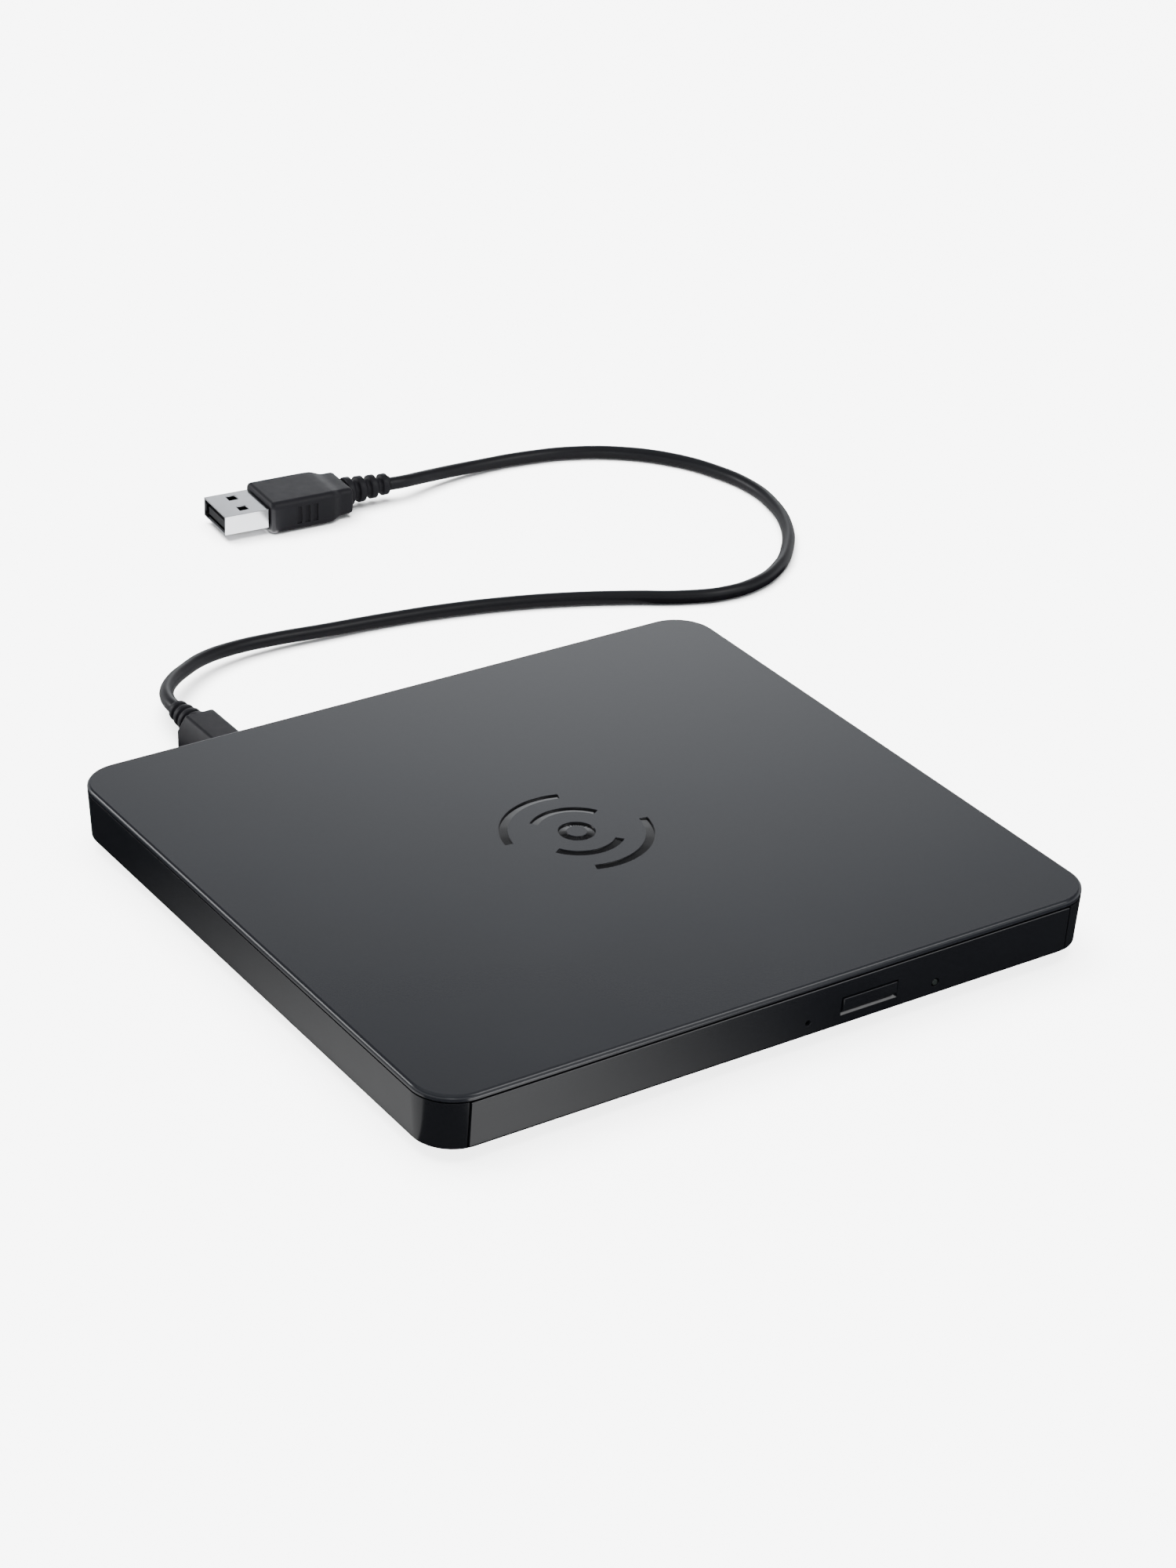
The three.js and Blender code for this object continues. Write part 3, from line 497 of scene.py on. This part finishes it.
# Both strain reliefs, in millimetres: the first and last rib's radius, and the grooves' depth.
RELIEF_RIBS = 4
RIB_ROUND = 0.18
RIB_ROUND_MIDDLE = 0.3 * RIB_ROUND
RELIEF_CORE = 1.75
RELIEF_COLLAR = 0.7
PLUG_RELIEF = dict(first=3.1, last=2.2, groove=0.7)
USB_RELIEF = dict(first=3.3, last=2.5, groove=0.8)
USB_RELIEF_START = 32.3
USB_RELIEF_LENGTH = 10.7


def ribbed_sleeve(length, first, last, groove):
    """A strain relief's (radius, distance) profile: ever smaller ribs, and a collar round the cord."""
    pitch = length / (2 * RELIEF_RIBS - 1)
    profile = [(0, 0)]
    for i in range(RELIEF_RIBS):
        low = 2 * i * pitch
        high = low + pitch
        radius = first + (last - first) * i / (RELIEF_RIBS - 1)
        inner = max(RELIEF_CORE, radius - groove)
        profile += [
            (inner, low),
            (radius - RIB_ROUND, low),
            (radius - RIB_ROUND_MIDDLE, low + RIB_ROUND_MIDDLE),
            (radius, low + RIB_ROUND),
            (radius, high - RIB_ROUND),
            (radius - RIB_ROUND_MIDDLE, high - RIB_ROUND_MIDDLE),
            (radius - RIB_ROUND, high),
            (inner, high),
        ]
    return profile + [(RELIEF_CORE, length + RELIEF_COLLAR), (0, length + RELIEF_COLLAR)]


def make_plug_relief():
    low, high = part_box("plug_relief")
    centre = (low + high) / 2
    place = Matrix.Translation((centre.x, low.y, centre.z)) @ Matrix.Rotation(-math.pi / 2, 4, "X")
    sleeve = lathe(ribbed_sleeve((high.y - low.y) / MM, **PLUG_RELIEF))
    return stand_in(to_object("drive_plug_relief", sleeve, place), "plug_relief")


def make_usb_relief():
    start = Matrix.Translation((USB_RELIEF_START * MM, 0, 0))
    place = USB_FRAME @ start @ Matrix.Rotation(math.pi / 2, 4, "Y")
    sleeve = lathe(ribbed_sleeve(USB_RELIEF_LENGTH, **USB_RELIEF))
    return stand_in(to_object("computer_plug_relief", sleeve, place), "usb_relief")


USB_HALF_WIDTH = 7.3
USB_AXIS_HEIGHT = 4
CORNER_STEPS = 6

# Sections of the computer plug's body, in millimetres: distance from the mouth, half width,
# underside, top, corner radius.
USB_SECTIONS = [
    (11, 6.5, 0.95, 6.9, 0.8),
    (11.12, 6.9, 0.55, 7.3, 1.1),
    (11.45, 7.18, 0.27, 7.58, 1.35),
    (11.9, USB_HALF_WIDTH, 0.15, 7.7, 1.5),
    (18, USB_HALF_WIDTH, 0.15, 7.7, 1.5),
    (24.5, 7.25, 0.15, 7.7, 1.5),
    (26.3, 7.1, 0.17, 7.68, 1.5),
    (27, 6.85, 0.25, 7.55, 1.5),
    (27.7, 6.45, 0.42, 7.38, 1.5),
    (28.3, 6.1, 0.58, 7.2, 1.45),
    (29, 5.92, 0.68, 7.12, 1.4),
    (30, 5.9, 0.7, 7.1, 1.4),
    (31.2, 5.9, 0.7, 7.1, 1.4),
    (31.7, 5.75, 0.85, 6.95, 1.25),
    (32, 5.35, 1.25, 6.55, 0.9),
]

# The grip's grooves in both sides of the body, and the gilt contacts, in the plug's frame.
GRIP = dict(starts=(17.2, 19.2, 21.2), width=1.2, depth=0.55, outside=9, z=(-2.2, 2.0))
CONTACTS = dict(places=(-3.5, -1.0, 1.0, 3.5), half_width=0.5, x=(1.4, 9), below=0.08, above=0.05)


def rounded_section(distance, half, low, high, radius):
    """A ring of points across the plug, in its own frame with its axis at height 0."""
    points = []
    centres = [
        (half - radius, high - radius),
        (radius - half, high - radius),
        (radius - half, low + radius),
        (half - radius, low + radius),
    ]
    for quarter, (y, z) in enumerate(centres):
        for step in range(CORNER_STEPS + 1):
            angle = math.pi / 2 * (quarter + step / CORNER_STEPS)
            across = y + radius * math.cos(angle)
            up = z - USB_AXIS_HEIGHT + radius * math.sin(angle)
            points.append(Vector((distance, across, up)) * MM)
    return points


def make_usb_body():
    """The moulded body, with three grip grooves in each side."""
    body = to_object("computer_plug_body", loft([rounded_section(*row) for row in USB_SECTIONS]))
    grooves = bmesh.new()
    inner = USB_HALF_WIDTH - GRIP["depth"]
    outer = GRIP["outside"]
    for start in GRIP["starts"]:
        for side in ((inner, outer), (-outer, -inner)):
            slab(grooves, (start, start + GRIP["width"]), side, GRIP["z"])
    cut_with(body, to_object("grooves", grooves))
    body.data.transform(USB_FRAME)
    round_edges(body, width=0.12)
    return stand_in(body, "usb_body")


def make_usb_contacts():
    """Four gilt contacts under the insulator."""
    maker = bmesh.new()
    bottom = (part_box("usb_tongue")[0].z - shell_middle.z) / MM
    half = CONTACTS["half_width"]
    for y in CONTACTS["places"]:
        height = (bottom - CONTACTS["below"], bottom + CONTACTS["above"])
        slab(maker, CONTACTS["x"], (y - half, y + half), height)
    contacts = to_object("computer_plug_contacts", maker, USB_FRAME)
    round_edges(contacts, width=0.03)
    return extra(contacts, "cable", "brass")


cable_pieces = [
    make_plug_relief(),
    make_usb_relief(),
    make_usb_body(),
    make_usb_contacts(),
    NODES["plug_tip"],
    NODES["plug_body"],
    NODES["usb_shell"],
    NODES["usb_tongue"],
]
cable_cord = make_cord()

# ---- the disc mechanism's turned pieces, and the screws ----

# Profiles are (radius, height) points in millimetres, with heights from the piece's underside.
TURNTABLE_UNDERSIDE = [(0, 0), (6, 0), (6, 0.6), (14.1, 0.6), (14.4, 0.8)]
TURNTABLE_PLATE = [(14.4, 1.15), (14.2, 1.25), (12.3, 1.25), (12.3, 1.05), (9.2, 1.05), (9, 1.3)]
TURNTABLE_HUB = [
    (7.6, 1.3), (7.3, 1.45), (7.3, 2.1), (6.9, 2.5), (6.3, 2.8), (2.4, 2.8), (2.2, 2.5), (0, 2.5),
]
FRICTION_RING = [(12.5, 1.1), (14, 1.1), (14, 1.42), (13.8, 1.5), (12.7, 1.5), (12.5, 1.42)]
JAW = dict(count=3, radial=(6.6, 7.75), across=(-0.9, 0.9), z=(1.5, 2.15))
MOTOR_CAN = [(0, 0), (9.7, 0), (10.5, 0.4), (10.5, 1.95), (10.2, 2.3)]
MOTOR_TOP = [(8.7, 2.3), (8.6, 2.1), (7.7, 2.1), (7.6, 2.3), (7, 2.5), (7, 3.8), (6.8, 4), (0, 4)]
SCREW_HEAD = [(0, 0), (1.2, 0), (1.5, 0.14), (1.6, 0.35), (1.6, 1)]
SCREW_SHANK = [(0.85, 1), (0.85, 9.55), (0, 10.4)]
SCREW_STEPS = 32
CROSS = dict(long=(-1, 1), narrow=(-0.2, 0.2), z=(-0.55, 0.55))


def on_axis_of(node):
    """The frame whose Z axis is the node's own upright axis, starting at its underside."""
    low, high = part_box(node)
    return Matrix.Translation(((low.x + high.x) / 2, (low.y + high.y) / 2, low.z))


def make_turntable():
    """The turntable with its friction ring and the three jaws that hold a disc."""
    place = on_axis_of("turntable")
    profile = TURNTABLE_UNDERSIDE + TURNTABLE_PLATE + TURNTABLE_HUB
    disc = to_object("turntable_disc", lathe(profile), place)
    round_edges(disc, width=0.08)
    stand_in(disc, "turntable")
    rubber = to_object("friction_ring", lathe(FRICTION_RING, ring=True), place)
    extra(rubber, "turntable", "foot_rubber")
    for i in range(JAW["count"]):
        maker = bmesh.new()
        slab(maker, JAW["radial"], JAW["across"], JAW["z"])
        turn = Matrix.Rotation(2 * math.pi * i / JAW["count"], 4, "Z")
        jaw = to_object(f"clamp_jaw_{i + 1}", maker, place @ turn)
        round_edges(jaw, width=0.28, segments=3)
        extra(jaw, "turntable", "bright_nickel")


def make_spindle_motor():
    motor = to_object("spindle_motor_can", lathe(MOTOR_CAN + MOTOR_TOP), on_axis_of("spindle_motor"))
    round_edges(motor, width=0.1)
    stand_in(motor, "spindle_motor")


def make_screw(node):
    """A case screw with a cross recess in its head, which faces down."""
    screw = to_object(node + "_cross_head", lathe(SCREW_HEAD + SCREW_SHANK, SCREW_STEPS))
    long, narrow = CROSS["long"], CROSS["narrow"]
    for x, y in ((long, narrow), (narrow, long)):
        arm = bmesh.new()
        slab(arm, x, y, CROSS["z"])
        cut_with(screw, to_object("arm", arm))
    screw.data.transform(on_axis_of(node))
    round_edges(screw, width=0.05)
    stand_in(screw, node)


SCREWS = [f"case_screw_{end}_{side}" for end in ("front", "back") for side in ("left", "right")]
make_turntable()
make_spindle_motor()
for screw_node in SCREWS:
    make_screw(screw_node)

# ---- the other CAD pieces: rounded edges and their finishes ----

USUAL_EDGE = 0.12

# The edges' radii in millimetres, where they aren't the usual one.
EDGES = {
    "top_cover": 0.06,
    "bottom_case": 0.18,
    "plug_body": 0.5,
    "usb_tongue": 0.08,
    "plug_tip": 0.1,
    "tray": 0.2,
    "tray_bezel": 0.06,
    "tray_shield": 0.05,
    "drive_cover": 0.05,
    "drive_pan": 0.1,
    "pickup_lens": 0.04,
    "tray_flex": 0.03,
    "lead_screw": 0.03,
}
REPLACED = {"cord", "plug_relief", "usb_relief", "usb_body", "turntable", "spindle_motor", *SCREWS}
for node_name, cad_node in NODES.items():
    if node_name in REPLACED:
        continue
    paint(cad_node, SLOT_OF[node_name])
    cad_node.data.shade_smooth()
    round_edges(cad_node, EDGES.get(node_name, USUAL_EDGE))

# ---- floor, lights and surroundings ----

FLOOR_HALF = 4.0
FLOOR_COLOUR = (0.9, 0.9, 0.9)
FLAG_COLOUR = (0.03, 0.03, 0.03)
SHEET_ROUGHNESS = 0.9

# In millimetres: the second floor's depth below the first, the flag's height, its reach past the case.
BOUNCE_DEPTH = 0.5
FLAG_HEIGHT = 0.02
FLAG_REACH = 60
FLAG_REACH_BEHIND = 30

# Suns for the floor alone, by strength, width in degrees and direction.
FLOOR_LIGHTS = {
    "floor_light_above": dict(energy=15.5, width=70, direction=(-0.1, 0.3, 2), cable_only=True),
    "floor_light_behind": dict(energy=7.5, width=35, direction=(-0.45, 0.9, 1.7), cable_only=True),
    "floor_light_contact": dict(energy=3, width=60, direction=(-0.1, 0.3, 2)),
}

# Glowing cards, in millimetres. The last one's place follows the computer plug's shell.
shell_low, shell_high = (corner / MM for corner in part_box("usb_shell"))
REFLECTORS = {
    "left_reflector": dict(
        x=(-95, -73), y=(-58, 80), strength=0.85, axis=1, dark_end=60, bright_end=-45,
    ),
    "front_reflector": dict(
        x=(-63, 30), y=(-105, -68), strength=1.55, dark_end=20, bright_end=-58,
    ),
    "lid_edge_reflector": dict(
        x=(-63, 40), y=(-98, -85), strength=5.5, dark_end=60, bright_end=-50, height=0.1,
    ),
    "plug_reflector": dict(
        x=(shell_low.x - 4, shell_high.x + 1), y=(shell_low.y - 16, shell_low.y + 2), strength=4.6,
    ),
}

# Square soft lights, in metres and watts.
SOFTBOXES = {
    "key": dict(place=(-0.25, 0.8, 1.5), target=(0, 0.05, 0), size=1.1, power=8, mirrored=False),
    "fill": dict(place=(0.5, -0.6, 0.85), target=(0, 0, 0), size=0.5, power=3),
    "edge": dict(place=(-0.8, 1.0, 0.45), target=(0, 0, 0), size=0.5, power=4),
}

# The room's glow and ceiling: heights in degrees over the horizon, and the strengths at those heights.
ROOM_COLOUR = (0.95, 0.97, 1.0, 1)
GLOW_HEIGHTS = (19, 35)
GLOW_STRENGTHS = (2.35, 0.08)
CEILING_HEIGHTS = (42, 55)
CEILING_STRENGTHS = (0, 0.4)

# The glow's middle, the sine of the angle to its sides, and its factors in the middle and at the sides.
GLOW_TOWARDS = Vector((0.555, 0.832, 0))
GLOW_SIDE = 0.24
GLOW_FACTORS = (1.15, 0.4)


def flat_sheet(name, x, y, z):
    """A level rectangle of the stage, in metres."""
    data = bpy.data.meshes.new(name)
    corners = [(x[0], y[0], z), (x[1], y[0], z), (x[1], y[1], z), (x[0], y[1], z)]
    data.from_pydata(corners, [], [(0, 1, 2, 3)])
    sheet = link(bpy.data.objects.new(name, data))
    return sheet


def plain_material(name, colour):
    """One matt colour, for the stage's sheets."""
    material = bpy.data.materials.new(name)
    material.use_nodes = True
    shader = material.node_tree.nodes["Principled BSDF"]
    shader.inputs["Base Color"].default_value = (*colour, 1)
    shader.inputs["Roughness"].default_value = SHEET_ROUGHNESS
    shader.inputs["Specular IOR Level"].default_value = 0.0
    return material


def floor_light(name, receivers, cable, energy, width, direction, cable_only=False):
    """A wide light for the floor alone. In some of them only the cable casts a shadow."""
    data = bpy.data.lights.new(name, "SUN")
    data.energy = energy
    data.angle = math.radians(width)
    light = link(bpy.data.objects.new(name, data))
    light.rotation_euler = Vector(direction).to_track_quat("Z", "Y").to_euler()
    light.light_linking.receiver_collection = receivers
    if cable_only:
        light.light_linking.blocker_collection = cable


def make_floor():
    """The pale floor that the camera sees, and under it a plainly lit one that the object sees."""
    reach = (-FLOOR_HALF, FLOOR_HALF)
    floor = flat_sheet("floor", reach, reach, 0)
    floor.data.materials.append(plain_material("floor", FLOOR_COLOUR))
    floor.visible_diffuse = False
    floor.visible_glossy = False
    floor.visible_transmission = False
    floor.visible_shadow = False
    bounce = flat_sheet("bounce_floor", reach, reach, -BOUNCE_DEPTH * MM)
    bounce.data.materials.append(plain_material("bounce_floor", FLOOR_COLOUR))
    bounce.visible_camera = False
    only_floor = bpy.data.collections.new("only_floor")
    only_floor.objects.link(floor)
    only_cable = bpy.data.collections.new("only_cable")
    for piece in [cable_cord, *cable_pieces]:
        only_cable.objects.link(piece)
    for name, look in FLOOR_LIGHTS.items():
        floor_light(name, only_floor, only_cable, **look)


def only_in_reflections(obj):
    obj.visible_camera = False
    obj.visible_diffuse = False
    obj.visible_shadow = False
    obj.visible_transmission = False


def black_flag():
    """A black card on the floor round the case. Its reflection keeps the walls dark."""
    low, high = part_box("bottom_case")
    x = (low.x - FLAG_REACH * MM, high.x + FLAG_REACH * MM)
    y = (low.y - FLAG_REACH * MM, high.y + FLAG_REACH_BEHIND * MM)
    flag = flat_sheet("black_flag", x, y, FLAG_HEIGHT * MM)
    flag.data.materials.append(plain_material("black_flag", FLAG_COLOUR))
    only_in_reflections(flag)


def reflector(name, x, y, strength, axis=0, dark_end=None, bright_end=None, height=0.05):
    """A glowing card on the floor, seen only in reflections. It may fade along X (axis 0) or Y (1)."""
    card = flat_sheet(name, in_metres(x), in_metres(y), height * MM)
    material = bpy.data.materials.new(name)
    material.use_nodes = True
    tree = material.node_tree
    tree.nodes.clear()
    if dark_end is not None:
        place = add(tree, "ShaderNodeTexCoord").outputs["Object"]
        along = add(tree, "ShaderNodeSeparateXYZ", {"Vector": place}).outputs[axis]
        strength = fade(tree, along, dark_end * MM, bright_end * MM, 0, strength)
    glow = add(tree, "ShaderNodeEmission", {"Strength": strength})
    add(tree, "ShaderNodeOutputMaterial", {"Surface": glow.outputs["Emission"]})
    card.data.materials.append(material)
    only_in_reflections(card)


def softbox(name, place, target, size, power, mirrored=True):
    """A square soft light. One that isn't mirrored leaves no pale patch on glossy pieces."""
    data = bpy.data.lights.new(name, "AREA")
    data.shape = "SQUARE"
    data.size = size
    data.energy = power
    light = link(bpy.data.objects.new(name, data))
    direction = Vector(target) - Vector(place)
    light.rotation_euler = direction.to_track_quat("-Z", "Y").to_euler()
    light.location = place
    light.visible_glossy = mirrored


def make_surroundings():
    """A dim room with a pale ceiling, and a pale glow low behind the object, weaker to both sides."""
    world = bpy.data.worlds.new("studio")
    world.use_nodes = True
    tree = world.node_tree
    tree.nodes.clear()
    direction = add(tree, "ShaderNodeTexCoord").outputs["Generated"]
    height = add(tree, "ShaderNodeSeparateXYZ", {"Vector": direction}).outputs["Z"]
    low, high = (math.sin(math.radians(angle)) for angle in GLOW_HEIGHTS)
    upwards = fade(tree, height, low, high, *GLOW_STRENGTHS)
    across = GLOW_TOWARDS.cross(Vector((0, 0, 1)))
    aside = add(tree, "ShaderNodeVectorMath", {0: direction, 1: across}, operation="DOT_PRODUCT")
    distance = add(tree, "ShaderNodeMath", {0: aside.outputs["Value"]}, operation="ABSOLUTE")
    sideways = fade(tree, distance.outputs["Value"], 0, GLOW_SIDE, *GLOW_FACTORS)
    glow = add(tree, "ShaderNodeMath", {0: upwards, 1: sideways}, operation="MULTIPLY")
    low, high = (math.sin(math.radians(angle)) for angle in CEILING_HEIGHTS)
    ceiling = fade(tree, height, low, high, *CEILING_STRENGTHS)
    total = add(tree, "ShaderNodeMath", {0: glow.outputs["Value"], 1: ceiling}, operation="ADD")
    inputs = {"Color": ROOM_COLOUR, "Strength": total.outputs["Value"]}
    light = add(tree, "ShaderNodeBackground", inputs)
    add(tree, "ShaderNodeOutputWorld", {"Surface": light.outputs["Background"]})
    bpy.context.scene.world = world


make_floor()
black_flag()
for card_name, card_look in REFLECTORS.items():
    reflector(card_name, **card_look)
for light_name, light_look in SOFTBOXES.items():
    softbox(light_name, **light_look)
make_surroundings()
